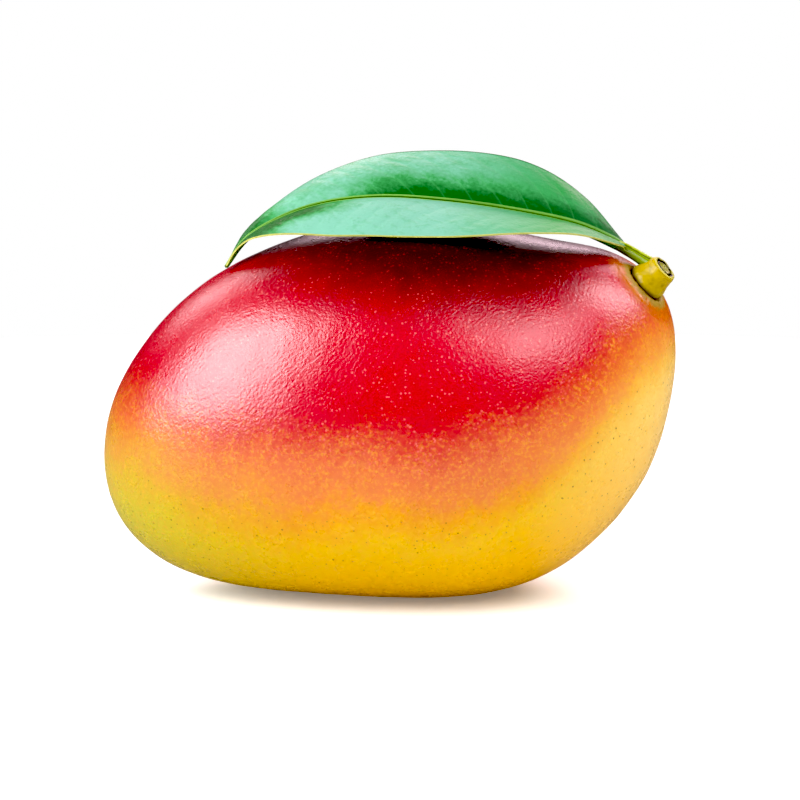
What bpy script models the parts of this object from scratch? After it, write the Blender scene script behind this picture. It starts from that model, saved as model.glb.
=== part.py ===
"""A whole mango lying on its side, with its cut stem, and one leaf on its stalk.

Metres, +Z up. The stem end points to +X and the flattened resting spot lies at Z = 0. The
origin is on the ground under the middle of the whole object.
"""
import math

import bmesh
import bpy
from mathutils import Matrix, Vector
from mathutils.geometry import interpolate_bezier

MM = 0.001
GAP = 0.3 * MM                      # clearance between pieces that touch

# Fruit: a tilted ellipse seen from the side, with a few soft bulges on its outline
FRUIT_MIDDLE = Vector((-1.7, 0.0, 40.1)) * MM
HALF_LENGTH = 65.0 * MM
HALF_HEIGHT = 45.7 * MM
HALF_THICKNESS = 39.0 * MM
LENGTH_TILT = math.radians(5.8)     # stem end up
OUTLINE_BULGES = (                  # direction and spread in degrees, height
    (27.6, 18.3, 8.8 * MM),         # shoulder that carries the stem
    (46.0, 12.0, -0.5 * MM),        # faint dip behind that shoulder
    (314.7, 25.9, 2.6 * MM),        # lower corner of the stem end
    (229.3, 87.5, -7.0 * MM),       # flatter belly towards the tip
    (206.6, 26.7, 7.8 * MM),        # blunt tip
)
BULGE_FADE = 2                      # how fast a bulge dies away towards the two cheeks
CHEEK_FULLNESS = 2.2                # 2 is an elliptical cross-section, more is squarer
STEM_END_FULLNESS = 0.14            # the stem half is thicker than the tip half
END_THINNING = 0.06
FRUIT_SUBDIVISIONS = 5
SOFT_EDGE = math.radians(60.0)      # only the socket's rim and floor stay crisp

# Stem: a short cut stub seated in a round socket in the fruit
STEM_BASE = Vector((57.8, -8.1, 72.1)) * MM
STEM_DIRECTION = Vector((0.68, -0.34, 0.65)).normalized()
STEM_SEAT_DEPTH = 1.2 * MM
STEM_RADIUS = 4.4 * MM
STEM_LENGTH = 5.5 * MM
STEM_TAPER = (                      # part of the length, part of the radius
    (0.0, 1.0),
    (0.2, 0.91),
    (0.5, 0.80),
    (0.8, 0.75),
    (0.95, 0.73),
    (1.0, 0.69),
)
STEM_SEAT_RADIUS = 4.3 * MM         # a little narrower where it is sunk in the fruit
CUT_HOLLOW = 0.4 * MM               # the cut end is sunk inside its rim
CUT_HOLLOW_RADIUS = 2.1 * MM
STEM_SIDES = 32
SOCKET_RADIUS = STEM_RADIUS + GAP
CRATER_RADIUS = 8.5 * MM
CRATER_HEIGHT = 2.0 * MM

# Leaf stalk: from the upper flank of the stem to the foot of the leaf
STALK_START = Vector((58.7, -8.7, 75.9)) * MM
STALK_RADIUS = 1.25 * MM
STALK_START_SWELLING = 1.15
STALK_BELOW_MIDRIB = 0.7 * MM
STALK_STEPS = 6
STALK_SIDES = 12

# Leaf: rows along the midrib from its foot to its tip. Each row holds x and z of the midrib,
# then the rise of the far half and the drop of the near half in degrees
LEAF_ROWS = (
    (53.3, 79.9, 15.0, 2.0),
    (42.5, 84.5, 40.0, 8.0),
    (29.4, 87.5, 48.5, 15.0),
    (13.2, 89.9, 43.0, 25.0),
    (-2.9, 90.8, 36.0, 31.0),
    (-17.7, 88.7, 25.0, 30.0),
    (-30.7, 82.7, 13.0, 9.0),
    (-36.5, 75.5, 2.0, -15.0),
)
LEAF_PLANE_Y = -3.5 * MM            # the midrib runs in this plane
LEAF_TIP_LEAN = -2.5 * MM           # and leaves it towards the tip
LEAF_TIP_LEAN_START = 0.7
LEAF_HALF_WIDTH = 15.6 * MM
LEAF_END_HALF_WIDTH = 0.7 * MM
LEAF_WIDEST_SHIFT = 0.84            # below 1 the widest place moves towards the foot
LEAF_FULLNESS = 0.9                 # below 1 the blade is fuller than a sine curve
DRIP_TIP_SHARPNESS = 10             # higher keeps the blade wide for longer before the tip
LEAF_THICKNESS = 0.6 * MM
MIDRIB_DEPTH = 1.2 * MM             # ridge under the blade, deepest at the foot
LEAF_STEPS_ALONG = 30
LEAF_STEPS_ACROSS = 8
LEAF_STEP_CROWDING = 1.5            # above 1 the steps across crowd towards the midrib


def principled(name, colour, roughness):
    material = bpy.data.materials.new(name)
    material.use_nodes = True
    shader = material.node_tree.nodes["Principled BSDF"]
    shader.inputs["Base Color"].default_value = (*colour, 1.0)
    shader.inputs["Roughness"].default_value = roughness
    shader.inputs["Metallic"].default_value = 0.0
    return material


def add_piece(name, data, material=None, placement=None):
    piece = bpy.data.objects.new(name, data)
    bpy.context.scene.collection.objects.link(piece)
    if material is not None:
        data.materials.append(material)
    if placement is not None:
        piece.matrix_world = placement
    return piece


def finished_mesh(name, shape, sharp_above=math.radians(35.0)):
    bmesh.ops.recalc_face_normals(shape, faces=shape.faces[:])
    mesh = bpy.data.meshes.new(name)
    shape.to_mesh(mesh)
    shape.free()
    mesh.shade_smooth()
    mesh.set_sharp_from_angle(angle=sharp_above)
    return mesh


def turned(name, profile, sides):
    """A closed solid turned about Z from (radius, height) points."""
    shape = bmesh.new()
    corners = [shape.verts.new((radius, 0.0, height)) for radius, height in profile]
    edges = [shape.edges.new(pair) for pair in zip(corners, corners[1:])]
    bmesh.ops.spin(
        shape, geom=corners + edges, cent=(0, 0, 0), axis=(0, 0, 1),
        angle=2 * math.pi, steps=sides, use_merge=True)
    bmesh.ops.remove_doubles(shape, verts=shape.verts[:], dist=0.001 * MM)
    return finished_mesh(name, shape)


def cut_away(piece, cutter):
    cutter.hide_render = True
    cutter.display_type = "WIRE"
    cut = piece.modifiers.new(cutter.name, "BOOLEAN")
    cut.operation = "DIFFERENCE"
    cut.solver = "EXACT"
    cut.object = cutter


def outline_radius(angle, spread):
    """Distance of the skin from the fruit's middle; spread is 1 on the side-view outline."""
    turned_angle = angle - LENGTH_TILT
    ellipse = HALF_LENGTH * HALF_HEIGHT / math.hypot(
        HALF_HEIGHT * math.cos(turned_angle), HALF_LENGTH * math.sin(turned_angle))
    bulge = 0.0
    for direction, width, height in OUTLINE_BULGES:
        away = (math.degrees(angle) - direction + 180.0) % 360.0 - 180.0
        bulge += height * math.exp(-((away / width) ** 2))
    return spread * (ellipse + bulge * spread ** BULGE_FADE)


def skin_point(direction):
    """Place on the skin for a unit vector from the fruit's middle."""
    angle = math.atan2(direction.z, direction.x)
    spread = min(1.0, math.hypot(direction.x, direction.z))
    reach = outline_radius(angle, spread)
    along = reach * math.cos(angle)
    lean = along / HALF_LENGTH
    thickness = HALF_THICKNESS * (1.0 + STEM_END_FULLNESS * lean - END_THINNING * lean ** 2)
    side = math.copysign(math.sqrt(1.0 - spread ** CHEEK_FULLNESS), direction.y)
    return FRUIT_MIDDLE + Vector((along, thickness * side, reach * math.sin(angle)))


def stem_placement():
    turn = Vector((0, 0, 1)).rotation_difference(STEM_DIRECTION)
    return Matrix.Translation(STEM_BASE) @ turn.to_matrix().to_4x4()


def make_fruit():
    shape = bmesh.new()
    bmesh.ops.create_icosphere(shape, subdivisions=FRUIT_SUBDIVISIONS, radius=1.0)
    for corner in shape.verts:
        corner.co = skin_point(corner.co.normalized())
    cut = bmesh.ops.bisect_plane(
        shape, geom=shape.verts[:] + shape.edges[:] + shape.faces[:], dist=0.01 * MM,
        plane_co=(0, 0, 0), plane_no=(0, 0, -1), clear_outer=True)
    rim = [item for item in cut["geom_cut"] if isinstance(item, bmesh.types.BMEdge)]
    bmesh.ops.contextual_create(shape, geom=rim)
    mesh = finished_mesh("mango_fruit", shape, SOFT_EDGE)
    fruit = add_piece("mango_fruit", mesh, principled("mango_skin", (0.72, 0.13, 0.05), 0.3))

    socket_floor = -STEM_SEAT_DEPTH - GAP
    profile = (
        (0.0, socket_floor),
        (SOCKET_RADIUS, socket_floor),
        (SOCKET_RADIUS, 0.0),
        (CRATER_RADIUS, CRATER_HEIGHT),
        (0.0, CRATER_HEIGHT),
    )
    cut_away(fruit, add_piece("stem_socket_cutter",
                              turned("stem_socket_cutter", profile, STEM_SIDES),
                              placement=stem_placement()))


def stem_profile(clearance=0.0):
    """(radius, height) points from the seat to the middle of the cut end."""
    flank = [(STEM_RADIUS * size + clearance, STEM_LENGTH * part) for part, size in STEM_TAPER]
    return [
        (0.0, -STEM_SEAT_DEPTH - clearance),
        (STEM_SEAT_RADIUS + clearance, -STEM_SEAT_DEPTH - clearance),
        *flank,
        (CUT_HOLLOW_RADIUS, STEM_LENGTH - CUT_HOLLOW),
        (0.0, STEM_LENGTH - 0.5 * CUT_HOLLOW),
    ]


def make_stem():
    add_piece("stem_stub", turned("stem_stub", stem_profile(), STEM_SIDES),
              principled("cut_stem", (0.55, 0.44, 0.03), 0.6), stem_placement())


def leaf_row(position):
    """Smooth curve through the leaf rows; position runs from 0 at the foot to 1 at the tip."""
    last = len(LEAF_ROWS) - 1
    step = min(int(position * last), last - 1)
    part = position * last - step
    before, start, end, after = (
        Vector(LEAF_ROWS[min(max(step + shift, 0), last)]) for shift in (-1, 0, 1, 2))
    return 0.5 * (
        2.0 * start + (end - before) * part
        + (2.0 * before - 5.0 * start + 4.0 * end - after) * part ** 2
        + (3.0 * start - before - 3.0 * end + after) * part ** 3)


def midrib_point(position):
    row = leaf_row(position)
    lean = max(0.0, position - LEAF_TIP_LEAN_START) / (1.0 - LEAF_TIP_LEAN_START)
    return Vector((row[0] * MM, LEAF_PLANE_Y + LEAF_TIP_LEAN * lean ** 2, row[1] * MM))


def midrib_direction(position):
    ahead = midrib_point(min(position + 0.01, 1.0))
    behind = midrib_point(max(position - 0.01, 0.0))
    return (ahead - behind).normalized()


def leaf_half_width(position):
    """Lance-shaped blade, widest a little before the middle and drawn out to a drip tip."""
    swell = math.sin(math.pi * position ** LEAF_WIDEST_SHIFT) ** LEAF_FULLNESS
    return LEAF_END_HALF_WIDTH + LEAF_HALF_WIDTH * swell * (1.0 - position ** DRIP_TIP_SHARPNESS)


def leaf_point(position, across):
    """Place on the upper face; across runs from -1 at the near edge to 1 at the far edge."""
    ahead = midrib_direction(position)
    sideways = Vector((0, 1, 0))
    sideways = (sideways - ahead * sideways.dot(ahead)).normalized()
    upward = ahead.cross(sideways)
    if upward.z < 0:
        upward.negate()
    row = leaf_row(position)
    slope = math.radians(row[2] if across > 0 else row[3])
    outward = math.cos(slope) * sideways + math.sin(slope) * upward
    return midrib_point(position) + outward * across * leaf_half_width(position)


def make_leaf():
    shape = bmesh.new()
    bmesh.ops.create_grid(
        shape, x_segments=LEAF_STEPS_ALONG, y_segments=LEAF_STEPS_ACROSS, size=1.0)
    midrib_depths = {}
    for corner in shape.verts:
        position = min(max(0.5 * (corner.co.x + 1.0), 0.0), 1.0)
        across = math.copysign(abs(corner.co.y) ** LEAF_STEP_CROWDING, corner.co.y)
        on_midrib = abs(across) < 0.01
        midrib_depths[corner.index] = MIDRIB_DEPTH * (1.0 - position) if on_midrib else 0.0
        corner.co = leaf_point(position, across)
    bmesh.ops.recalc_face_normals(shape, faces=shape.faces[:])
    if sum(face.normal.z for face in shape.faces) < 0:
        bmesh.ops.reverse_faces(shape, faces=shape.faces[:])
    shape.normal_update()
    depths = [LEAF_THICKNESS + midrib_depths[corner.index] for corner in shape.verts]
    normals = [corner.normal.copy() for corner in shape.verts]
    copied = bmesh.ops.extrude_face_region(shape, geom=shape.faces[:], use_keep_orig=True)
    lower = [item for item in copied["geom"] if isinstance(item, bmesh.types.BMVert)]
    for corner, depth, normal in zip(lower, depths, normals):
        corner.co -= normal * depth
    add_piece("leaf_blade", finished_mesh("leaf_blade", shape),
              principled("leaf_green", (0.07, 0.36, 0.09), 0.4))


def make_stalk():
    along = midrib_direction(0.0)
    end = midrib_point(0.0) - along * GAP - Vector((0, 0, STALK_BELOW_MIDRIB))
    leaving = (end - STALK_START).normalized()
    reach = (end - STALK_START).length / 3.0
    places = interpolate_bezier(
        STALK_START, STALK_START + leaving * reach, end - along * reach, end, STALK_STEPS + 1)
    sections = []
    for step, place in enumerate(places):
        direction = leaving.lerp(along, step / STALK_STEPS)
        turn = Vector((0, 0, 1)).rotation_difference(direction).to_matrix().to_4x4()
        swelling = STALK_START_SWELLING + (1.0 - STALK_START_SWELLING) * step / STALK_STEPS
        sections.append(Matrix.Translation(place) @ turn @ Matrix.Scale(swelling, 4))

    shape = bmesh.new()
    bmesh.ops.create_circle(shape, segments=STALK_SIDES, radius=STALK_RADIUS, matrix=sections[0])
    ring = shape.edges[:]
    for section, following in zip(sections, sections[1:]):
        extruded = bmesh.ops.extrude_edge_only(shape, edges=ring)["geom"]
        corners = [item for item in extruded if isinstance(item, bmesh.types.BMVert)]
        ring = [edge for edge in shape.edges if all(corner in corners for corner in edge.verts)]
        bmesh.ops.transform(shape, matrix=following @ section.inverted(), verts=corners)
    bmesh.ops.holes_fill(shape, edges=shape.edges[:], sides=STALK_SIDES)
    stalk = add_piece("leaf_stalk", finished_mesh("leaf_stalk", shape),
                      principled("stalk_green", (0.27, 0.36, 0.02), 0.5))
    cut_away(stalk, add_piece("stem_clearance_cutter",
                              turned("stem_clearance_cutter", stem_profile(GAP), STEM_SIDES),
                              placement=stem_placement()))


def main():
    for old in list(bpy.data.objects):
        bpy.data.objects.remove(old, do_unlink=True)
    make_fruit()
    make_stem()
    make_stalk()
    make_leaf()


main()
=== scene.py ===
"""A ripe mango resting on its side, with a short cut stem and a leaf arched over the top.

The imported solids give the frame. Each piece here takes the place of one of them with a finer shape
and a finish of its own, and a plain pale studio stands round it.
"""

import math

import bmesh
import bpy
from bpy.props import FloatProperty, FloatVectorProperty, IntProperty, PointerProperty
from mathutils import Matrix, Vector, noise
from mathutils.geometry import interpolate_bezier


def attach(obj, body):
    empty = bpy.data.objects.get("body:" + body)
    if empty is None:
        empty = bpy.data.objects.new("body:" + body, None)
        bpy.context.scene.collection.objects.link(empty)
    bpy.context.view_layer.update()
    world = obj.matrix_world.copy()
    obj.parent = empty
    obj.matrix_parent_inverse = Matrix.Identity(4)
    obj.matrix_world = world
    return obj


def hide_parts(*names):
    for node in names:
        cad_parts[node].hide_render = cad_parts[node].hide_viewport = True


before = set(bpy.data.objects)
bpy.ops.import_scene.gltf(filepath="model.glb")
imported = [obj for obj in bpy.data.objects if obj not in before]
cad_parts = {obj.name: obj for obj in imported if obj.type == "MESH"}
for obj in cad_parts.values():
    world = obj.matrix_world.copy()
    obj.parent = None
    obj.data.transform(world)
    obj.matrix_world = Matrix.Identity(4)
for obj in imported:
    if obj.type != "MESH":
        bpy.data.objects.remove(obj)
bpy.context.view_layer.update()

bl_info = {
    "name": "Mango with a leaf",
    "version": (1, 0, 0),
    "blender": (4, 5, 0),
    "location": "View3D > Sidebar > Mango",
    "description": "Builds a ripe mango with its cut stem, leaf stalk and leaf in a pale studio",
    "category": "Add Mesh",
}

MM = 0.001

# The whole fruit. Directions are degrees in the XZ plane, counted from +X towards +Z.
FRUIT_MIDDLE = Vector((-1.7, 0.0, 40.1)) * MM
HALF_LENGTH = 65.0 * MM
HALF_HEIGHT = 45.7 * MM
HALF_THICKNESS = 39.0 * MM
LENGTH_TILT = math.radians(5.8)
OUTLINE_BULGES = (  # direction, spread in degrees, height
    (27.6, 18.3, 8.8 * MM),
    (46.0, 12.0, -0.5 * MM),
    (314.7, 25.9, 2.6 * MM),
    (229.3, 87.5, -7.0 * MM),
    (206.6, 26.7, 7.8 * MM),
)
BULGE_FADE = 2
CHEEK_FULLNESS = 2.2
STEM_END_FULLNESS = 0.14
END_THINNING = 0.06
RING_CROWDING = 1.7  # packs the rings of faces closer towards the stem
FOOT_SOFTNESS = 0.7 * MM  # how gently the skin meets the surface it rests on
FOOT_SINK = 0.02 * MM  # keeps the softened foot down on that surface
BROAD_SWELL = 17.0 * MM  # width of the broad swells of the skin
SMALL_SWELL = 6.0 * MM
BROAD_SHARE = 0.75
CALM_SHARE = 0.25  # how much of the swells is left close to the stem
CALM_END = (6.0 * MM, 16.0 * MM)
SCAR_DIRECTION = Vector((-0.93, 0.36, -0.05)).normalized()
SCAR_RADIUS = 1.6 * MM
SCAR_DEPTH = 0.5 * MM

# Where the colours change on the skin: place along the fruit and height over the floor, in mm.
BLUSH_EDGE = (  # red above, yellow below
    (-66, 41), (-57, 39.5), (-50, 37.5), (-43, 35), (-37, 33.5), (-25, 32), (-15, 31.5), (0, 32),
    (12, 31.2), (22, 32.2), (30, 35.4), (41, 43.2), (48, 51.5), (55, 56), (66, 62),
)
MAROON_AND_LEAF_SHADOW_EDGE = (  # the crimson deepens above, and lowest under the leaf this is painted shadow of the leaf
    (-60, 78), (-40, 72), (-26, 67), (-10, 63.5), (12, 61), (30, 61), (40, 63.5), (50, 69.5),
    (60, 80),
)
YELLOWING_END = 50.0  # the red turns yellow faster from one end of this to the other
YELLOWING_FAR = 0.85
YELLOWING_RISE = 0.6

# The stem, its seat and the corky lip of skin round it.
STEM_BASE = Vector((57.8, -8.1, 72.1)) * MM
STEM_DIRECTION = Vector((0.68, -0.34, 0.65)).normalized()
STEM_HALF = 40.0 * MM  # the seat lies beyond this place along the fruit
SEAT_SHAPE = (  # distance from the stem's axis, height over the smooth skin, in mm
    (0.0, -1.7), (3.6, -1.7), (4.3, -1.1), (4.75, -0.25), (5.2, 0.12), (5.7, 0.16), (6.3, -0.02),
    (7.2, -0.22), (8.4, -0.12), (10.5, 0.0),
)
SEAT_RADIUS = SEAT_SHAPE[-1][0] * MM
SEAT_REACH = 14.0 * MM
CORK_START = (4.5 * MM, 5.0 * MM)
CORK_END = (6.0 * MM, 7.4 * MM)
CORK_HEIGHT = 0.22 * MM
CORK_GRAIN = 0.9 * MM
STEM_SHAPE = (  # radius and height in mm, from the seat to the middle of the cut end
    (0.0, -1.3), (3.6, -1.3), (4.15, -0.9), (4.42, -0.2), (4.45, 0.4), (4.3, 1.0), (4.02, 1.7),
    (3.82, 2.4), (3.66, 3.1), (3.55, 3.8), (3.46, 4.4), (3.36, 4.85), (3.2, 5.15), (3.0, 5.32),
    (2.75, 5.36), (2.5, 5.28), (2.34, 5.02), (2.2, 4.86), (2.04, 4.95), (1.88, 5.14), (1.6, 5.2),
    (1.3, 5.16), (1.06, 5.02), (0.8, 4.9), (0.5, 4.94), (0.0, 5.0),
)
BROAD_LUMP = 2.2 * MM  # width of the lumps on the stem
SMALL_LUMP = 0.8 * MM
SMALL_LUMP_SHARE = 0.4
MERGE_DISTANCE = 0.001 * MM

# The leaf stalk. Angles are degrees round it.
STALK_START = Vector((58.7, -8.7, 75.9)) * MM
STALK_RADIUS = 1.25 * MM
STALK_BELOW_MIDRIB = 0.7 * MM
STALK_UNDER_LEAF = 2.0 * MM
STALK_STEPS = 48
STALK_SIDES = 40
STALK_FOOT_SWELLING = 0.28
STALK_END_NARROWING = 0.12
STALK_END_START = 0.75
RIDGE_ANGLE = 95.0
RIDGE_SPREAD = 24.0
GROOVE_ASIDE = 48.0  # how far each groove lies from the ridge
GROOVE_SPREAD = 15.0
GROOVE_SHARE = 0.8  # depth of a groove against the height of the ridge
STALK_SHARP_ANGLE = math.radians(60.0)

# The leaf. Rows run from the foot to the tip: x and z of the midrib in mm, then the rise of the far
# half and the drop of the near half in degrees.
LEAF_ROWS = (
    (53.3, 79.9, 15.0, 2.0),
    (42.5, 84.5, 40.0, 8.0),
    (29.4, 87.5, 48.5, 15.0),
    (13.2, 89.9, 43.0, 25.0),
    (-2.9, 90.8, 36.0, 31.0),
    (-17.7, 88.7, 25.0, 30.0),
    (-30.7, 82.7, 13.0, 9.0),
    (-36.5, 75.5, 2.0, -15.0),
)
LEAF_PLANE_Y = -3.5 * MM
LEAF_TIP_LEAN = -2.5 * MM
LEAF_TIP_LEAN_START = 0.7
LEAF_LENGTH = 97.0 * MM
LEAF_HALF_WIDTH = 15.6 * MM
LEAF_END_HALF_WIDTH = 0.7 * MM
LEAF_WIDEST_SHIFT = 0.84
LEAF_FULLNESS = 0.9
DRIP_TIP_SHARPNESS = 10
LEAF_CROWDING = 1.6  # packs the lines of faces closer towards the midrib
LEAF_WAVE = 13.0 * MM  # width of the soft waves of the blade
LEAF_WAVE_HEIGHT = 0.25 * MM
LEAF_FULL_RELIEF = 0.7  # share of the greatest width from which bulges and veins are full
CAMBER_SHIFT = 0.8  # draws the crown of each half's bulge towards the midrib
LEAF_SHARP_ANGLE = math.radians(50.0)
VEIN_SLANT = 0.62  # how far a side vein leans towards the tip
VEIN_CURVE = 0.018 / MM
VEIN_WANDER = 0.35
VEIN_WANDER_RATE = 9.0
VEIN_SHARPNESS = 3.0
VEINS_FROM_MIDRIB = (0.6 * MM, 2.5 * MM)
VEINS_FROM_EDGE = (0.2 * MM, 2.6 * MM)
MIDRIB_STEP = 0.01  # part of the leaf over which the midrib's direction is taken
MIDRIB_NARROWING = 0.68
TAPER_POWER = 0.8  # of the midrib and its keel
RIB_EDGE_HEIGHT = 0.20 * MM  # the midrib's raised edges and the groove between them
RIB_GROOVE_DEPTH = 0.16 * MM
RIB_EDGE_PLACE = 0.75
RIB_SPREAD = 0.38
RIB_END = 1.6
UNDER_RELIEF = 0.25  # share of the midrib's relief that thickens the blade
KEEL_END_DEPTH = 0.15 * MM
KEEL_WIDTH = 0.85
KEEL_NARROWING = 0.6
# The painted shade bands along the midrib: widths in mm, and parts of the leaf where they fade or
# deepen.
FAR_BAND = 13.0
FAR_BAND_DEPTH = 1.2
FAR_BAND_FALL = 1.6
FAR_BAND_FADE = (0.50, 0.72)
FAR_DEPTH = 0.18  # least painted shade on the far half
NEAR_BAND = (1.5, 7.5)
NEAR_BAND_RISE = (0.56, 0.74)
TIP_RISE = (0.74, 0.88)

# The camera, what it looks at, and the softboxes round it.
CAMERA_AIM = Vector((2.57, 0.0, 44.43)) * MM
CAMERA_DISTANCE = 508.0 * MM
CAMERA_ELEVATION = math.radians(8.0)
CAMERA_LENS = 100.0
CAMERA_SENSOR = 36.0
FLOOR_SIDES = 96
SOFTBOXES = (  # azimuth and elevation in degrees; distance, width and height; tint
    ("key", -63.0, 28.0, 0.70, 0.54, 0.56, "#FFFFFF"),
    ("fill", 38.0, 38.5, 0.90, 0.50, 0.54, "#FFFFFF"),
    ("side", 95.0, 42.5, 0.80, 0.32, 0.40, "#FFFFFF"),
    ("top", 168.0, 38.0, 1.20, 1.00, 0.66, "#FFDDE8"),
    ("rim", -132.0, 36.0, 0.80, 0.34, 0.30, "#FFFFFF"),
)


def linear(code):
    """Linear colour for an sRGB hex value."""
    parts = (int(code[place:place + 2], 16) / 255.0 for place in (1, 3, 5))
    return tuple(
        part / 12.92 if part <= 0.04045 else ((part + 0.055) / 1.055) ** 2.4 for part in parts)


def colour(name, description, code):
    """A colour setting from an sRGB hex value."""
    return FloatVectorProperty(
        name=name, description=description, subtype="COLOR", min=0.0, max=1.0,
        default=linear(code))


def length(name, description, millimetres, least=0.0):
    """A length setting, with its default and its least value in mm."""
    return FloatProperty(
        name=name, description=description, unit="LENGTH", min=least * MM,
        default=millimetres * MM)


def count(name, description, default, least):
    """A setting for a number of faces."""
    return IntProperty(name=name, description=description, default=default, min=least)


def level(name, description, default):
    """A setting for how strong a light is."""
    return FloatProperty(name=name, description=description, default=default, min=0.0)


class MangoFruitSettings(bpy.types.PropertyGroup):
    segments: count("Segments", "Faces round the fruit", 300, 48)
    rings: count("Rings", "Rings of faces from the stem to the far end", 230, 32)
    unevenness: length("Unevenness", "Height of the soft swells of the skin", 0.30)
    grain_depth: length("Grain depth", "Depth of the fine grain of the skin", 0.15)
    dot_spacing: length("Dot spacing", "Distance between the pale pores of the skin", 1.35, 0.5)
    dot_radius: length("Dot radius", "Radius of a pale pore", 0.26, 0.05)
    speck_spacing: length("Speck spacing", "Distance between the dark specks", 2.4, 0.5)
    speck_radius: length("Speck radius", "Radius of a dark speck", 0.21, 0.05)
    # The maroon is the deepest blush on the top and, under the leaf, the leaf's painted shadow.
    maroon_and_leaf_shadow: colour("Maroon", "Darkest blush on the top", "#3A0206")
    crimson: colour("Crimson", "Main blush", "#AB0224")
    scarlet: colour("Scarlet", "Lower part of the blush", "#B2382C")
    vermilion: colour("Vermilion", "Red-orange under the blush", "#BE5C34")
    orange: colour("Orange", "Skin between blush and yellow", "#C56E32")
    amber: colour("Amber", "Skin under the orange", "#C68412")
    yellow: colour("Yellow", "Ripe ground colour", "#C8A00A")
    low_yellow: colour("Low yellow", "Ground colour near the resting spot", "#CA9A04")
    green: colour("Green", "Less ripe ground colour at the far end", "#AEA42A")
    pale: colour("Pale", "Pale yellow cheek at the stem end", "#CCAA5A")
    fleck: colour("Fleck", "Yellow flecks in the orange skin", "#D09A2C")
    pore: colour("Pore", "Pale pores in the red skin", "#C85C56")
    speck: colour("Speck", "Dark specks in the yellow skin", "#453A04")
    tan: colour("Tan", "Orange-brown skin round the corky lip", "#AA5C10")
    cork: colour("Cork", "Corky lip of skin round the stem", "#8A6C1C")


class MangoStemSettings(bpy.types.PropertyGroup):
    sides: count("Sides", "Faces round the stem", 128, 24)
    lumps: length("Lumps", "Height of the lumps on the stem", 0.16)
    bark: colour("Bark", "Young bark of the stem", "#A89004")
    bark_shade: colour("Bark shade", "Darker marks on the bark", "#6E6006")
    cut_rim: colour("Cut rim", "Pale edge of the cut", "#BEB254")
    cut_ring: colour("Cut ring", "Dark broken ring on the cut end", "#181404")
    pith: colour("Pith", "Middle of the cut end", "#98903E")


class MangoStalkSettings(bpy.types.PropertyGroup):
    ridge_height: length("Ridge height", "Height of the ridge along the stalk", 0.16)
    body: colour("Stalk", "Olive green of the stalk", "#6E8210")
    # The ridge colour is painted light on the top of the stalk; the groove colour is painted shade
    # in the grooves and on the underside.
    ridge: colour("Ridge", "Lighter ridge along the stalk", "#98A630")
    shade: colour("Groove", "Dark groove beside the ridge", "#2E3A06")


class MangoLeafSettings(bpy.types.PropertyGroup):
    steps_along: count("Steps along", "Faces from the foot to the tip", 300, 40)
    steps_across: count("Steps across", "Faces from edge to edge", 72, 12)
    thickness: length("Thickness", "Thickness of the blade", 0.34, 0.1)
    far_camber: length("Far camber", "How far the far half bulges upwards", 1.5)
    near_camber: length("Near camber", "How far the near half bulges upwards", 0.7)
    vein_spacing: length("Vein spacing", "Distance between side veins", 5.6, 1.0)
    vein_relief: length("Vein relief", "Depth of the side veins in the upper face", 0.12)
    midrib_width: length("Midrib width", "Width of the midrib at the foot", 1.7, 0.2)
    keel_depth: length("Keel depth", "Depth of the midrib under the blade at the foot", 1.2)
    # The mint is the leaf's green with a painted reflection of the softboxes in it; near the foot it
    # gives way to plainer green.
    upper: colour("Upper face", "Mint green of the upper face", "#72A893")
    upper_mid: colour("Mid green", "Green between the mint and the darkest parts", "#418A51")
    # The deep green is painted shade, along the midrib and on the far edge.
    shade_green: colour("Deep green", "Darkest green along the midrib", "#235824")
    near_foot: colour("Near the foot", "Mid green of the blade near its foot", "#328A42")
    underside: colour("Underside", "Paler dull green of the underside", "#6E9A4E")
    vein: colour("Veins", "Side veins", "#62B870")
    midrib: colour("Midrib", "Light edges of the midrib", "#6E9C4C")
    groove: colour("Midrib groove", "Olive groove along the midrib", "#2A4E06")
    margin: colour("Margin", "Thin yellow edge of the blade", "#B0B060")


class MangoStageSettings(bpy.types.PropertyGroup):
    floor_radius: length("Floor radius", "Radius of the floor", 550.0, 500.0)
    floor: colour("Floor", "Plain pale floor", "#F4F4F4")
    floor_mirrored: colour("Floor in gloss", "Floor as the gloss mirrors it", "#787878")
    floor_glow: level("Floor glow", "Light that comes up through the white table", 0.2)
    key_strength: level("Key strength", "Brightness of the main softbox", 8.0)
    fill_strength: level("Fill strength", "Brightness of the softbox on the other side", 4.2)
    side_strength: level("Side strength", "Brightness of the softbox beyond the stem", 6.0)
    top_strength: level("Top strength", "Brightness of the softbox over and behind", 3.8)
    rim_strength: level("Rim strength", "Brightness of the softbox behind the far end", 2.9)
    room_strength: level("Room strength", "Brightness of the pale room", 0.08)
    black_level: level("Black level", "Light level shown as black", 0.05)


class MangoSettings(bpy.types.PropertyGroup):
    fruit: PointerProperty(type=MangoFruitSettings)
    stem: PointerProperty(type=MangoStemSettings)
    stalk: PointerProperty(type=MangoStalkSettings)
    leaf: PointerProperty(type=MangoLeafSettings)
    stage: PointerProperty(type=MangoStageSettings)


def blend_between(low, high, value):
    """0 below low, 1 above high, and a smooth curve between."""
    part = min(max((value - low) / (high - low), 0.0), 1.0)
    return part * part * (3.0 - 2.0 * part)


def read_curve(points, value):
    """Straight-line reading of a curve given as (place, height) pairs in rising order."""
    if value <= points[0][0]:
        return points[0][1]
    for (start, low), (end, high) in zip(points, points[1:]):
        if value <= end:
            return low + (high - low) * (value - start) / (end - start)
    return points[-1][1]


def bell(distance):
    """1 at no distance, fading smoothly to 0 on both sides."""
    return math.exp(-distance * distance)


def add_readings(shape, *names):
    """Layers that keep a number each for every corner point, for the piece's material to read."""
    return [shape.verts.layers.float.new(name) for name in names]


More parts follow.
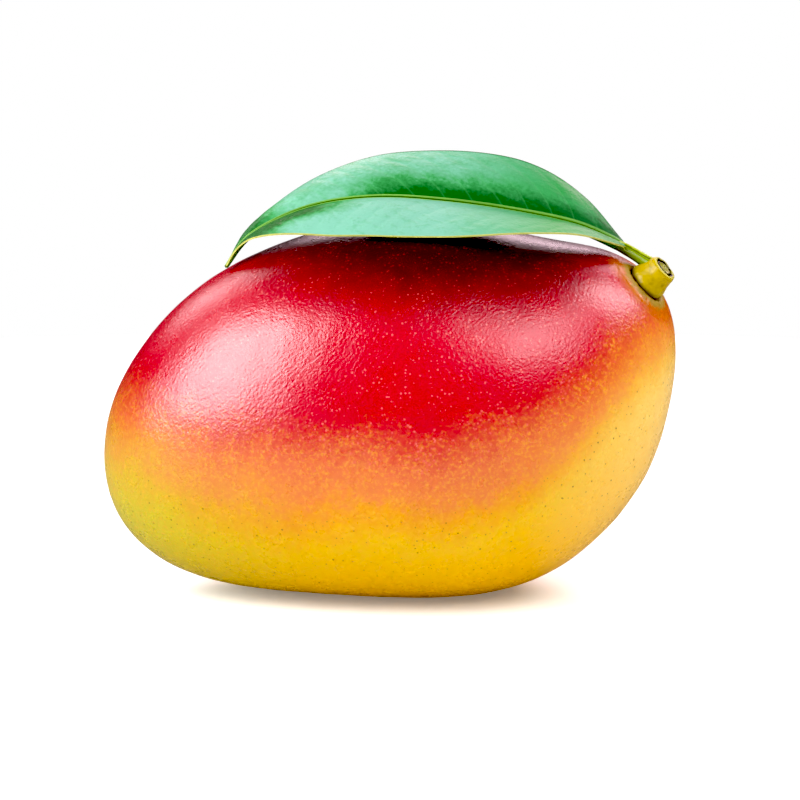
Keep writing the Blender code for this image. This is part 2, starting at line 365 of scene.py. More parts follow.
def write_readings(corner, layers, values):
    """Writes one corner point's number into each layer."""
    for layer, value in zip(layers, values):
        corner[layer] = value


def finish_piece(name, shape, material, node):
    """Turns a finished bmesh into a piece of the object that takes its CAD node's place."""
    mesh = bpy.data.meshes.new(name)
    shape.to_mesh(mesh)
    shape.free()
    mesh.shade_smooth()
    mesh.materials.append(material)
    piece = bpy.data.objects.new(name, mesh)
    bpy.context.scene.collection.objects.link(piece)
    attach(piece, "root")
    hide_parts(node)
    return piece


def new_material(name):
    """A material with its node tree and its Principled shader."""
    material = bpy.data.materials.new(name)
    material.use_nodes = True
    tree = material.node_tree
    return material, tree, tree.nodes["Principled BSDF"]


def connect(tree, node, inputs):
    """Gives each input of a node its link or its value; a colour needs no alpha."""
    for key, value in inputs.items():
        socket = node.inputs[key]
        if isinstance(value, bpy.types.NodeSocket):
            tree.links.new(value, socket)
        else:
            socket.default_value = (*value, 1.0) if socket.type == "RGBA" else value


def add(tree, kind, inputs=None, out=0, stops=(), **settings):
    """Adds a node with its settings, its inputs and the stops of its ramp, and gives one output."""
    node = tree.nodes.new("ShaderNode" + kind)
    for name, value in settings.items():
        setattr(node, name, value)
    connect(tree, node, inputs or {})
    for place, (position, shade) in enumerate(stops):
        if place < 2:
            stop = node.color_ramp.elements[place]
            stop.position = position
        else:
            stop = node.color_ramp.elements.new(position)
        stop.color = (*shade, 1.0)
    return node.outputs[out]


def object_millimetres(tree):
    """Places on the piece in millimetres."""
    place = add(tree, "TexCoord", out="Object")
    return add(tree, "VectorMath", {0: place, "Scale": 1.0 / MM}, operation="SCALE")


# ---- fruit

def outline_radius(angle, spread):
    """Distance of the skin from the fruit's middle; spread is 1 on the side-view outline."""
    turned_angle = angle - LENGTH_TILT
    ellipse = HALF_LENGTH * HALF_HEIGHT / math.hypot(
        HALF_HEIGHT * math.cos(turned_angle), HALF_LENGTH * math.sin(turned_angle))
    bulge = 0.0
    for direction, width, height in OUTLINE_BULGES:
        away = (math.degrees(angle) - direction + 180.0) % 360.0 - 180.0
        bulge += height * bell(away / width)
    return spread * (ellipse + bulge * spread ** BULGE_FADE)


def skin_point(direction):
    """Place on the smooth skin for a unit vector from the fruit's middle."""
    angle = math.atan2(direction.z, direction.x)
    spread = min(1.0, math.hypot(direction.x, direction.z))
    reach = outline_radius(angle, spread)
    along = reach * math.cos(angle)
    lean = along / HALF_LENGTH
    thickness = HALF_THICKNESS * (1.0 + STEM_END_FULLNESS * lean - END_THINNING * lean ** 2)
    side = math.copysign(math.sqrt(1.0 - spread ** CHEEK_FULLNESS), direction.y)
    return FRUIT_MIDDLE + Vector((along, thickness * side, reach * math.sin(angle)))


def crowded_direction(direction, turn):
    """Turns the sphere's pole to the stem and draws its rings towards it."""
    polar = math.acos(min(max(direction.z, -1.0), 1.0))
    crowded = math.pi * (polar / math.pi) ** RING_CROWDING
    around = math.atan2(direction.y, direction.x)
    ring = math.sin(crowded)
    moved = Vector((ring * math.cos(around), ring * math.sin(around), math.cos(crowded)))
    return (turn @ moved).normalized()


def from_stem_axis(point):
    """Distance of a point from the line through the stem, counted only in the stem's half."""
    if point.x <= STEM_HALF:
        return STEM_HALF
    offset = point - STEM_BASE
    return (offset - STEM_DIRECTION * offset.dot(STEM_DIRECTION)).length


def soft_floor(height):
    """Flattens the skin gently where it would pass below the surface it rests on."""
    return 0.5 * (height + math.sqrt(height * height + FOOT_SOFTNESS ** 2)) - FOOT_SINK


def swell(point):
    """Soft swells of the skin, from -1 to 1."""
    broad = noise.noise(point / BROAD_SWELL)
    small = noise.noise(point / SMALL_SWELL + Vector((7.0, 3.0, 1.0)))
    return BROAD_SHARE * broad + (1.0 - BROAD_SHARE) * small


def above_edge(edge, point):
    """Height in mm over the line where a colour changes."""
    return (point.z / MM) - read_curve(edge, point.x / MM)


def above_blush_edge(point):
    """Height in mm over the blush's lower edge; the red turns yellow faster near the stem."""
    height = above_edge(BLUSH_EDGE, point)
    if height < 0.0:
        part = blend_between(-YELLOWING_END, YELLOWING_END, point.x / MM)
        height *= YELLOWING_FAR + YELLOWING_RISE * part
    return height


def seat_height(point, from_axis):
    """Rise of the skin along the stem's direction in the seat and its corky lip."""
    cork = blend_between(*CORK_START, from_axis) * (1.0 - blend_between(*CORK_END, from_axis))
    smooth = read_curve(SEAT_SHAPE, from_axis / MM) * MM
    return smooth + CORK_HEIGHT * cork * noise.noise(point / CORK_GRAIN)


class MANGO_OT_fruit(bpy.types.Operator):
    """Builds the whole fruit with its stem seat, resting spot and blossom scar."""

    bl_idname = "mango.fruit"
    bl_label = "Fruit"

    def execute(self, context):
        settings = context.scene.mango.fruit
        shape = bmesh.new()
        readings = add_readings(
            shape, "above_blush_edge", "above_maroon_and_shadow_edge", "from_stem", "from_scar")
        bmesh.ops.create_uvsphere(
            shape, u_segments=settings.segments, v_segments=settings.rings, radius=1.0)
        turn = Vector((0, 0, 1)).rotation_difference(STEM_BASE - FRUIT_MIDDLE).to_matrix()
        scar_place = skin_point(SCAR_DIRECTION)
        for corner in shape.verts:
            corner.co = skin_point(crowded_direction(corner.co.normalized(), turn))
        bmesh.ops.recalc_face_normals(shape, faces=shape.faces[:])
        shape.normal_update()
        for corner in shape.verts:
            place = corner.co.copy()
            from_axis = from_stem_axis(place)
            strength = CALM_SHARE + (1.0 - CALM_SHARE) * blend_between(*CALM_END, from_axis)
            corner.co += corner.normal * settings.unevenness * swell(place) * strength
            if from_axis < SEAT_RADIUS and (place - STEM_BASE).length < SEAT_REACH:
                corner.co += STEM_DIRECTION * seat_height(place, from_axis)
            from_scar = (place - scar_place).length / SCAR_RADIUS
            corner.co -= corner.normal * SCAR_DEPTH * bell(from_scar)
            corner.co.z = soft_floor(corner.co.z)
            write_readings(corner, readings, (
                above_blush_edge(corner.co), above_edge(MAROON_AND_LEAF_SHADOW_EDGE, corner.co),
                from_stem_axis(corner.co) / MM, (corner.co - scar_place).length / MM))
        finish_piece("fruit_skin", shape, waxy_mango_skin(settings), "mango_fruit")
        return {"FINISHED"}


def waxy_mango_skin(settings):
    """Ripe mango skin: a thin natural wax over coloured skin gives soft-edged glossy highlights, a
    fine grain breaks their edges up, and pale pores and speckles sit in the colour below."""
    material, tree, shader = new_material("waxy mango skin")
    millimetres = object_millimetres(tree)
    along = add(tree, "SeparateXYZ", {0: millimetres})
    height, above_maroon_and_shadow, from_stem, from_scar = (
        add(tree, "Attribute", out="Fac", attribute_name=name)
        for name in ("above_blush_edge", "above_maroon_and_shadow_edge", "from_stem", "from_scar"))

    # The blush edge wanders in patches about 26 mm wide, blotches of 5 mm and specks of 1 mm.
    patches, blotches, specks, pebbles = (
        add(tree, "TexNoise", {"Vector": millimetres, "Scale": 1.0 / width, "Detail": detail})
        for width, detail in ((26.0, 1.0), (5.0, 3.0), (1.1, 2.0), (0.6, 2.0)))
    wander = height
    for source, reach in ((patches, 10.0), (blotches, 8.0), (specks, 9.0)):
        shift = add(tree, "Math", {0: source, 1: 0.5}, operation="SUBTRACT")
        wander = add(tree, "Math", {0: shift, 1: reach, 2: wander}, operation="MULTIPLY_ADD")
    low, high = -30.0, 50.0
    stops = ((low, settings.low_yellow), (-16.0, settings.yellow), (-8.0, settings.amber),
             (-3.0, settings.orange), (4.0, settings.vermilion), (9.0, settings.scarlet),
             (14.0, settings.crimson), (high, settings.crimson))
    ripeness = add(tree, "MapRange", {"Value": wander, "From Min": low, "From Max": high})
    ground = add(tree, "ValToRGB", {"Fac": ripeness},
                 stops=[((mm - low) / (high - low), shade) for mm, shade in stops])

    # Maroon high on the fruit between its ends: the deepest blush, and under the leaf also the
    # leaf's painted shadow.
    above_maroon_and_shadow = add(tree, "Math", {0: blotches, 1: 5.0, 2: above_maroon_and_shadow}, operation="MULTIPLY_ADD")
    maroon_and_shadow_part = add(tree, "MapRange", {"Value": above_maroon_and_shadow, "From Min": 2.5, "From Max": 20.5},
                   interpolation_type="SMOOTHSTEP")

    # How much of each marking shows, by the place over the blush edge in mm.
    in_yellow, thin_blush, in_red, dark_strength = (
        add(tree, "MapRange", {"Value": wander, "From Min": start, "From Max": end,
                               "To Min": least, "To Max": most})
        for start, end, least, most in (
            (4.0, -16.0, 0.0, 1.0), (17.0, 4.0, 0.0, 0.5), (0.0, 9.0, 0.12, 0.85),
            (-2.0, -9.0, 0.0, 0.9)))

    # Less ripe yellow-green at the low far end, a pale cheek at the stem end.
    green_part, pale_part = (
        add(tree, "MapRange", {"Value": along, "From Min": start, "From Max": end,
                               "To Max": in_yellow})
        for start, end in ((-18.0, -58.0), (30.0, 62.0)))

    # Irregular yellow flecks near 1 mm wide show through where the blush thins out.
    flecks = add(tree, "TexNoise", {"Vector": millimetres, "Scale": 1.0 / 0.7, "Detail": 2.0,
                                    "Roughness": 0.65})
    fleck_part = add(tree, "MapRange", {"Value": flecks, "From Min": 0.50, "From Max": 0.66,
                                        "To Max": thin_blush})

    # Pores and specks are where small balls, one in each cell of space, meet the skin. The cell
    # size gives the wanted spacing on the skin for balls of the wanted radius.
    pore_strength = add(tree, "MapRange", {"Value": maroon_and_shadow_part, "To Min": in_red, "To Max": 0.2})
    dots = []
    for radius, spacing, strength in (
            (settings.dot_radius / MM, settings.dot_spacing / MM, pore_strength),
            (settings.speck_radius / MM, settings.speck_spacing / MM, dark_strength)):
        cell = (2.0 * radius * spacing ** 2) ** (1.0 / 3.0)
        share = radius / cell
        distance = add(tree, "TexVoronoi", {"Vector": millimetres, "Scale": 1.0 / cell})
        chance = add(tree, "SeparateColor", {0: distance.node.outputs["Color"]}, out="Green")
        ball = add(tree, "MapRange", {"Value": chance, "To Min": 0.7 * share,
                                      "To Max": 1.3 * share})
        inside = add(tree, "Math", {0: ball, 1: distance}, operation="SUBTRACT")
        dots.append(add(tree, "MapRange", {"Value": inside, "From Max": 0.6 * share,
                                           "To Max": strength}))

    # The skin turns orange-tan and then corky brown as it meets the stem.
    near_stem = add(tree, "Math", {0: specks, 1: 3.0, 2: from_stem}, operation="MULTIPLY_ADD")
    tan_part, cork_part, scar_part = (
        add(tree, "MapRange", {"Value": distance, "From Min": start, "From Max": end,
                               "To Max": strength})
        for distance, start, end, strength in (
            (near_stem, 12.6, 9.0, 0.85), (near_stem, 8.7, 7.6, 1.0), (from_scar, 2.2, 0.9, 1.0)))
    for part, shade in (
            (maroon_and_shadow_part, settings.maroon_and_leaf_shadow), (green_part, settings.green), (pale_part, settings.pale),
            (fleck_part, settings.fleck), (dots[0], settings.pore), (dots[1], settings.speck),
            (tan_part, settings.tan), (cork_part, settings.cork), (scar_part, settings.cork)):
        ground = add(tree, "Mix", {0: part, 6: ground, 7: shade}, out=2, data_type="RGBA")

    # Painted shade and light: the colours are darkened towards the far end and brightened towards
    # the stem end, evening out the stronger light of the main softbox on the far end.
    depth = add(tree, "MapRange", {"Value": along, "From Min": -60.0, "From Max": 60.0,
                                   "To Min": 0.75, "To Max": 1.26})
    ground = add(tree, "VectorMath", {0: ground, "Scale": depth}, operation="SCALE")

    # Grain: pebbles 0.6 mm wide and slanting wrinkles up to 1.6 mm long.
    slanted = add(tree, "Mapping", {"Vector": millimetres, "Scale": (1.6, 0.8, 0.55),
                                    "Rotation": (0.0, math.radians(-42.0), 0.0)},
                  vector_type="TEXTURE")
    wrinkles = add(tree, "TexNoise", {"Vector": slanted, "Scale": 1.0, "Detail": 3.0})
    grain = add(tree, "Mix", {0: 0.45, 2: pebbles, 3: wrinkles})
    bump = add(tree, "Bump", {"Strength": 1.0, "Distance": settings.grain_depth, "Height": grain})
    wax = add(tree, "MapRange", {"Value": blotches, "To Min": 0.21, "To Max": 0.35})
    dullness = add(tree, "Mix", {0: cork_part, 2: wax, 3: 0.65})
    connect(tree, shader, {"Base Color": ground, "Normal": bump, "Roughness": dullness,
                           "IOR": 1.66})
    return material


# ---- stem

class MANGO_OT_stem(bpy.types.Operator):
    """Builds the cut stem with its rounded bark edge and ringed cut end."""

    bl_idname = "mango.stem"
    bl_label = "Cut stem"

    def execute(self, context):
        settings = context.scene.mango.stem
        shape = bmesh.new()
        readings = add_readings(shape, "from_axis", "up_stem")
        corners = [shape.verts.new((radius * MM, 0.0, height * MM))
                   for radius, height in STEM_SHAPE]
        edges = [shape.edges.new(pair) for pair in zip(corners, corners[1:])]
        bmesh.ops.subdivide_edges(shape, edges=edges, cuts=2)
        bmesh.ops.spin(
            shape, geom=shape.verts[:] + shape.edges[:], cent=(0, 0, 0), axis=(0, 0, 1),
            angle=2.0 * math.pi, steps=settings.sides, use_merge=True)
        bmesh.ops.remove_doubles(shape, verts=shape.verts[:], dist=MERGE_DISTANCE)
        bmesh.ops.recalc_face_normals(shape, faces=shape.faces[:])
        shape.normal_update()
        for corner in shape.verts:
            place = corner.co
            write_readings(corner, readings, (math.hypot(place.x, place.y) / MM, place.z / MM))
            lump = noise.noise(place / BROAD_LUMP)
            lump += SMALL_LUMP_SHARE * noise.noise(place / SMALL_LUMP)
            corner.co = place + corner.normal * settings.lumps * lump
        turn = Vector((0, 0, 1)).rotation_difference(STEM_DIRECTION).to_matrix().to_4x4()
        bmesh.ops.transform(
            shape, matrix=Matrix.Translation(STEM_BASE) @ turn, verts=shape.verts[:])
        finish_piece("cut_stem", shape, young_mango_wood(settings), "stem_stub")
        return {"FINISHED"}


def young_mango_wood(settings):
    """Young mango wood cut with shears: dull smooth yellow-green bark with brown specks, and a cut
    end with a pale bark edge, a dark sappy ring and paler pith."""
    material, tree, shader = new_material("young mango wood")
    millimetres = object_millimetres(tree)
    from_axis, up_stem = (
        add(tree, "Attribute", out="Fac", attribute_name=name) for name in ("from_axis", "up_stem"))
    # Mottling 1.6 mm wide and a wobble of 0.9 mm.
    mottle, wobble = (
        add(tree, "TexNoise", {"Vector": millimetres, "Scale": 1.0 / width, "Detail": detail})
        for width, detail in ((1.6, 4.0), (0.9, 2.0)))
    marks = add(tree, "MapRange", {"Value": mottle, "From Min": 0.54, "From Max": 0.78,
                                   "To Max": 0.7})
    base = add(tree, "MapRange", {"Value": up_stem, "From Min": 0.7, "From Max": -0.2})

    # Rings on the cut end, in mm from the middle with a wobble added.
    ring_place = add(tree, "Math", {0: wobble, 1: 0.9, 2: from_axis}, operation="MULTIPLY_ADD")
    ring_part = add(tree, "MapRange", {"Value": ring_place, "From Max": 4.0})
    cut = add(tree, "ValToRGB", {"Fac": ring_part}, stops=(
        (0.0, settings.pith), (0.45, settings.pith), (0.58, settings.cut_ring),
        (0.70, settings.cut_ring), (0.80, settings.cut_rim), (1.0, settings.cut_rim)))
    high = add(tree, "MapRange", {"Value": up_stem, "From Min": 4.6, "From Max": 4.85})
    cut_part = add(tree, "MapRange", {"Value": from_axis, "From Min": 3.25, "From Max": 3.05,
                                      "To Max": high})
    shade = settings.bark
    for part, over in ((marks, settings.bark_shade), (base, settings.bark_shade), (cut_part, cut)):
        shade = add(tree, "Mix", {0: part, 6: shade, 7: over}, out=2, data_type="RGBA")
    bump = add(tree, "Bump", {"Strength": 0.8, "Distance": 0.08 * MM, "Height": mottle})
    connect(tree, shader, {"Base Color": shade, "Normal": bump, "Roughness": 0.42, "IOR": 1.48})
    return material


# ---- leaf

def leaf_row(position):
    """Smooth curve through the leaf rows; position runs from 0 at the foot to 1 at the tip."""
    last = len(LEAF_ROWS) - 1
    step = min(int(position * last), last - 1)
    part = position * last - step
    before, start, end, after = (
        Vector(LEAF_ROWS[min(max(step + shift, 0), last)]) for shift in (-1, 0, 1, 2))
    return 0.5 * (
        2.0 * start + (end - before) * part
        + (2.0 * before - 5.0 * start + 4.0 * end - after) * part ** 2
        + (3.0 * start - before - 3.0 * end + after) * part ** 3)


def midrib_point(position):
    """Place on the midrib."""
    row = leaf_row(position)
    lean = max(0.0, position - LEAF_TIP_LEAN_START) / (1.0 - LEAF_TIP_LEAN_START)
    return Vector((row[0] * MM, LEAF_PLANE_Y + LEAF_TIP_LEAN * lean ** 2, row[1] * MM))


def midrib_direction(position):
    """Direction of the midrib, towards the tip."""
    ahead = midrib_point(min(position + MIDRIB_STEP, 1.0))
    behind = midrib_point(max(position - MIDRIB_STEP, 0.0))
    return (ahead - behind).normalized()


def leaf_half_width(position):
    """Lance-shaped blade, widest a little before the middle and drawn out to a drip tip."""
    fullness = math.sin(math.pi * position ** LEAF_WIDEST_SHIFT) ** LEAF_FULLNESS
    return LEAF_END_HALF_WIDTH + LEAF_HALF_WIDTH * fullness * (1.0 - position ** DRIP_TIP_SHARPNESS)


def leaf_point(position, across):
    """Place on the flat upper face; across runs from -1 at the near edge to 1 at the far edge."""
    ahead = midrib_direction(position)
    sideways = Vector((0, 1, 0))
    sideways = (sideways - ahead * sideways.dot(ahead)).normalized()
    upward = ahead.cross(sideways)
    if upward.z < 0:
        upward.negate()
    row = leaf_row(position)
    slope = math.radians(row[2] if across > 0 else row[3])
    outward = math.cos(slope) * sideways + math.sin(slope) * upward
    return midrib_point(position) + outward * across * leaf_half_width(position)


def vein_height(settings, position, across):
    """Height of the upper face between its sunken side veins, 0 on a vein and 1 between two."""
    aside = abs(across) * leaf_half_width(position)
    along = position * LEAF_LENGTH - VEIN_SLANT * aside - VEIN_CURVE * aside ** 2
    shift = 0.5 if across > 0 else 0.0
    wander = VEIN_WANDER * noise.noise(Vector((position * VEIN_WANDER_RATE, 3.0 * shift, 0.0)))
    wave = (along / settings.vein_spacing + shift + wander) % 1.0
    return 1.0 - abs(2.0 * wave - 1.0) ** VEIN_SHARPNESS


def painted_leaf_shade(position, across):
    """Painted shade on the green, from 0 on the mint parts to 1 in the shade bands along the midrib
    and at the tip.
    """
    aside = across * leaf_half_width(position) / MM
    if aside > 0.0:
        band = FAR_BAND_DEPTH * max(0.0, 1.0 - aside / FAR_BAND) ** FAR_BAND_FALL
        band = max(band * (1.0 - blend_between(*FAR_BAND_FADE, position)), FAR_DEPTH)
    else:
        band = 1.0 - blend_between(*NEAR_BAND, -aside)
        band *= blend_between(*NEAR_BAND_RISE, position)
    return min(1.0, band + blend_between(*TIP_RISE, position))


class MANGO_OT_leaf(bpy.types.Operator):
    """Builds the arched leaf blade with its midrib, keel, side veins and margin."""

    bl_idname = "mango.leaf"
    bl_label = "Leaf"

    def execute(self, context):
        settings = context.scene.mango.leaf
        shape = bmesh.new()
        readings = add_readings(
            shape, "aside", "from_edge", "rib", "between_veins", "toward_tip", "depth")
        underside, = add_readings(shape, "underside")
        inward = shape.verts.layers.float_vector.new("inward")
        bmesh.ops.create_grid(
            shape, x_segments=settings.steps_along, y_segments=settings.steps_across, size=1.0)
        places = []
        for corner in shape.verts:
            position = min(max(0.5 * (corner.co.x + 1.0), 0.0), 1.0)
            across = math.copysign(abs(corner.co.y) ** LEAF_CROWDING, corner.co.y)
            places.append((position, across))
            corner.co = leaf_point(position, across)
        bmesh.ops.recalc_face_normals(shape, faces=shape.faces[:])
        if sum(face.normal.z for face in shape.faces) < 0:
            bmesh.ops.reverse_faces(shape, faces=shape.faces[:])
        shape.normal_update()

        for corner, (position, across) in zip(shape.verts, places):
            half_width = leaf_half_width(position)
            aside = abs(across) * half_width
            edge = half_width - aside
            size = min(1.0, half_width / (LEAF_FULL_RELIEF * LEAF_HALF_WIDTH))
            camber = settings.far_camber if across > 0 else settings.near_camber
            veins = vein_height(settings, position, across)
            quilt = blend_between(*VEINS_FROM_MIDRIB, aside) * blend_between(*VEINS_FROM_EDGE, edge)
            wave = noise.noise(corner.co / LEAF_WAVE) * abs(across)
            narrowed = 1.0 - MIDRIB_NARROWING * position ** TAPER_POWER
            rib = aside / (0.5 * settings.midrib_width * narrowed)
            crown = math.sin(math.pi * min(abs(across), 1.0) ** CAMBER_SHIFT)
            lift = size * (camber * crown + settings.vein_relief * quilt * veins
                           + LEAF_WAVE_HEIGHT * wave)
            lift += RIB_EDGE_HEIGHT * bell((rib - RIB_EDGE_PLACE) / RIB_SPREAD)
            lift -= RIB_GROOVE_DEPTH * bell(rib / RIB_SPREAD)
            keel = settings.keel_depth * (1.0 - position) ** TAPER_POWER + KEEL_END_DEPTH
            keel_width = KEEL_WIDTH * settings.midrib_width * (1.0 - KEEL_NARROWING * position)
            keel *= bell(aside / keel_width)
            depth = settings.thickness + keel + UNDER_RELIEF * lift * (rib < RIB_END)
            corner[inward] = corner.normal * depth
            corner.co += corner.normal * lift
            write_readings(corner, readings, (
                math.copysign(aside, across) / MM, edge / MM, rib, veins, position,
                painted_leaf_shade(position, across)))
        copied = bmesh.ops.extrude_face_region(shape, geom=shape.faces[:], use_keep_orig=True)
        for item in copied["geom"]:
            if isinstance(item, bmesh.types.BMVert):
                item.co -= item[inward]
                item[underside] = 1.0
        shape.verts.layers.float_vector.remove(inward)
        bmesh.ops.recalc_face_normals(shape, faces=shape.faces[:])
        piece = finish_piece(
            "arched_leaf", shape, leathery_mango_leaf(settings), "leaf_blade")
        piece.data.set_sharp_from_angle(angle=LEAF_SHARP_ANGLE)
        return {"FINISHED"}


def leathery_mango_leaf(settings):
    """Mature mango leaf: a tough waxy upper face gives broad bright highlights over deep green, the
    underside is paler and dull, and the midrib and thin margin are yellow-green. The mint of the
    upper face is partly painted reflection, and the dark bands along the midrib and the dark far
    edge are painted shade."""
    material, tree, shader = new_material("leathery mango leaf")
    millimetres = object_millimetres(tree)
    aside, from_edge, rib, between, toward_tip, depth, underside = (
        add(tree, "Attribute", out="Fac", attribute_name=name)
        for name in ("aside", "from_edge", "rib", "between_veins", "toward_tip", "depth",
                     "underside"))
    # Clouds 7 mm wide, a grain of 0.8 mm and slanted streaks 5 mm long.
    streaky = add(tree, "Mapping", {"Vector": millimetres, "Scale": (5.0, 2.0, 1.3),
                                    "Rotation": (0.0, math.radians(28.0), 0.0)},
                  vector_type="TEXTURE")
    cloudy, fine, streaks = (
        add(tree, "TexNoise", {"Vector": place, "Scale": 1.0 / width, "Detail": detail})
        for place, width, detail in (
            (millimetres, 7.0, 4.0), (millimetres, 0.8, 3.0), (streaky, 1.0, 3.0)))
    far_half = add(tree, "MapRange", {"Value": aside, "From Min": -0.3, "From Max": 0.3})

    # The painted shade deepens the green in ragged streaks along the midrib and at the tip.
    for source, reach in ((cloudy, 0.3), (streaks, 0.6), (fine, 0.4)):
        shift = add(tree, "Math", {0: source, 1: 0.5}, operation="SUBTRACT")
        depth = add(tree, "Math", {0: shift, 1: reach, 2: depth}, operation="MULTIPLY_ADD")
    foot, deepest, middling, rib_part, groove = (
        add(tree, "MapRange", {"Value": value, "From Min": start, "From Max": end})
        for value, start, end in (
            (toward_tip, 0.44, 0.20), (depth, 0.48, 0.90), (depth, 0.0, 0.56),
            (rib, 1.35, 1.0), (rib, 0.55, 0.3)))
    # Light is the mint with its painted reflection, turning to plainer green near the foot; dark is
    # the painted shade along the midrib.
    light, dark, edge_shade = (
        add(tree, "Mix", {0: part, 6: under, 7: over}, out=2, data_type="RGBA")
        for part, under, over in (
            (foot, settings.upper, settings.near_foot),
            (deepest, settings.upper_mid, settings.shade_green),
            (far_half, settings.margin, settings.shade_green)))
    vein_strength, reach, dullness = (
        add(tree, "MapRange", {"Value": value, "To Min": least, "To Max": most})
        for value, least, most in (
            (far_half, 0.08, 0.16), (far_half, 0.22, 0.45), (underside, 0.40, 0.62)))
    vein_part = add(tree, "MapRange", {"Value": between, "From Min": 0.3, "From Max": 0.0,
                                       "To Max": vein_strength})
    # On the far half the thin edge is painted shade in the deep green; on the near half it is the
    # yellow margin.
    margin = add(tree, "MapRange", {"Value": from_edge, "From Min": reach, "From Max": 0.08})
    shade = light
    for part, over in (
            (middling, dark), (vein_part, settings.vein), (underside, settings.underside),
            (rib_part, settings.midrib), (groove, settings.groove), (margin, edge_shade)):
        shade = add(tree, "Mix", {0: part, 6: shade, 7: over}, out=2, data_type="RGBA")

    grain = add(tree, "Mix", {0: 0.55, 2: fine, 3: streaks})
    bump = add(tree, "Bump", {"Strength": 1.0, "Distance": 0.25 * MM, "Height": grain})
    connect(tree, shader, {"Base Color": shade, "Normal": bump, "Roughness": dullness,
                           "IOR": 1.31, "Specular Tint": linear("#B8FFE0")})
    return material


# ---- stalk

class MANGO_OT_stalk(bpy.types.Operator):
    """Builds the ridged leaf stalk from inside the stem to the leaf's foot."""

    bl_idname = "mango.stalk"
    bl_label = "Leaf stalk"

    def execute(self, context):
        settings = context.scene.mango.stalk
        along = midrib_direction(0.0)
        end = midrib_point(0.0) + along * STALK_UNDER_LEAF - Vector((0, 0, STALK_BELOW_MIDRIB))
        leaving = (end - STALK_START).normalized()
        reach = (end - STALK_START).length / 3.0
        places = interpolate_bezier(
            STALK_START, STALK_START + leaving * reach, end - along * reach, end, STALK_STEPS + 1)
        sections = []
        for step, place in enumerate(places):
            part = step / STALK_STEPS
            direction = leaving.lerp(along, part).normalized()
            aside = Vector((0, 1, 0)).cross(direction).cross(direction).normalized()
            above = direction.cross(aside).normalized()
            if above.z < 0:
                above.negate()
                aside.negate()
            turn = Matrix((aside, above, aside.cross(above))).transposed().to_4x4()
            swelling = 1.0 + STALK_FOOT_SWELLING * (1.0 - part) ** 3
            swelling -= STALK_END_NARROWING * blend_between(STALK_END_START, 1.0, part)
            sections.append(Matrix.Translation(place) @ turn @ Matrix.Scale(swelling, 4))

        shape = bmesh.new()
        readings = add_readings(shape, "around")
        bmesh.ops.create_circle(shape, segments=STALK_SIDES, radius=STALK_RADIUS)
        for corner in shape.verts:
            from_ridge = abs(math.degrees(math.atan2(corner.co.y, corner.co.x)) - RIDGE_ANGLE)
            write_readings(corner, readings, [from_ridge])
            lift = bell(from_ridge / RIDGE_SPREAD)
            lift -= GROOVE_SHARE * bell((from_ridge - GROOVE_ASIDE) / GROOVE_SPREAD)
            corner.co *= 1.0 + settings.ridge_height * lift / STALK_RADIUS
        bmesh.ops.transform(shape, matrix=sections[0], verts=shape.verts[:])
        ring = shape.edges[:]
        for section, following in zip(sections, sections[1:]):
            extruded = bmesh.ops.extrude_edge_only(shape, edges=ring)["geom"]
            corners = [item for item in extruded if isinstance(item, bmesh.types.BMVert)]
            ring = [item for item in extruded if isinstance(item, bmesh.types.BMEdge)
                    and all(corner in corners for corner in item.verts)]
            bmesh.ops.transform(shape, matrix=following @ section.inverted(), verts=corners)
        bmesh.ops.holes_fill(shape, edges=shape.edges[:], sides=STALK_SIDES)
        bmesh.ops.recalc_face_normals(shape, faces=shape.faces[:])
        piece = finish_piece(
            "ridged_stalk", shape, green_stalk_skin(settings), "leaf_stalk")
        piece.data.set_sharp_from_angle(angle=STALK_SHARP_ANGLE)
        return {"FINISHED"}


def green_stalk_skin(settings):
    """Smooth green stalk skin: satin and olive, with painted light along the ridge on its top and
    painted shade in the grooves beside the ridge and on its underside.
    """
    material, tree, shader = new_material("green stalk skin")
    around = add(tree, "Attribute", out="Fac", attribute_name="around")
    streaks = add(tree, "TexNoise", {"Vector": object_millimetres(tree), "Scale": 1.0 / 1.2,
                                     "Detail": 3.0})
    turn = add(tree, "Math", {0: streaks, 1: 24.0, 2: around}, operation="MULTIPLY_ADD")
    part = add(tree, "MapRange", {"Value": turn, "From Max": 180.0})
    # Round the stalk from its top: painted light on the ridge, painted shade in the grooves, olive
    # on the sides and painted shade underneath.
    shade = add(tree, "ValToRGB", {"Fac": part}, stops=(
        (0.0, settings.ridge), (0.24, settings.ridge), (0.33, settings.shade),
        (0.40, settings.body), (0.75, settings.body), (0.95, settings.shade)))
    bump = add(tree, "Bump", {"Strength": 0.6, "Distance": 0.05 * MM, "Height": streaks})
    connect(tree, shader, {"Base Color": shade, "Normal": bump, "Roughness": 0.38, "IOR": 1.48})
    return material


# ---- stage

def softbox(name, strength, azimuth, elevation, distance, width, height, tint):
    """A soft rectangular light aimed at the fruit; azimuth 0 is at the camera, 90 at the stem."""
    light = bpy.data.lights.new(name, "AREA")
    light.shape = "RECTANGLE"
    light.size = width
    light.size_y = height
    light.energy = 4.0 * strength * width * height
    light.color = linear(tint)
    lamp = bpy.data.objects.new(name, light)
    bpy.context.scene.collection.objects.link(lamp)
    across, up = math.radians(azimuth), math.radians(elevation)
    direction = Vector(
        (math.sin(across) * math.cos(up), -math.cos(across) * math.cos(up), math.sin(up)))
    lamp.matrix_world = (Matrix.Translation(CAMERA_AIM + direction * distance)
                         @ direction.to_track_quat("Z", "Y").to_matrix().to_4x4())


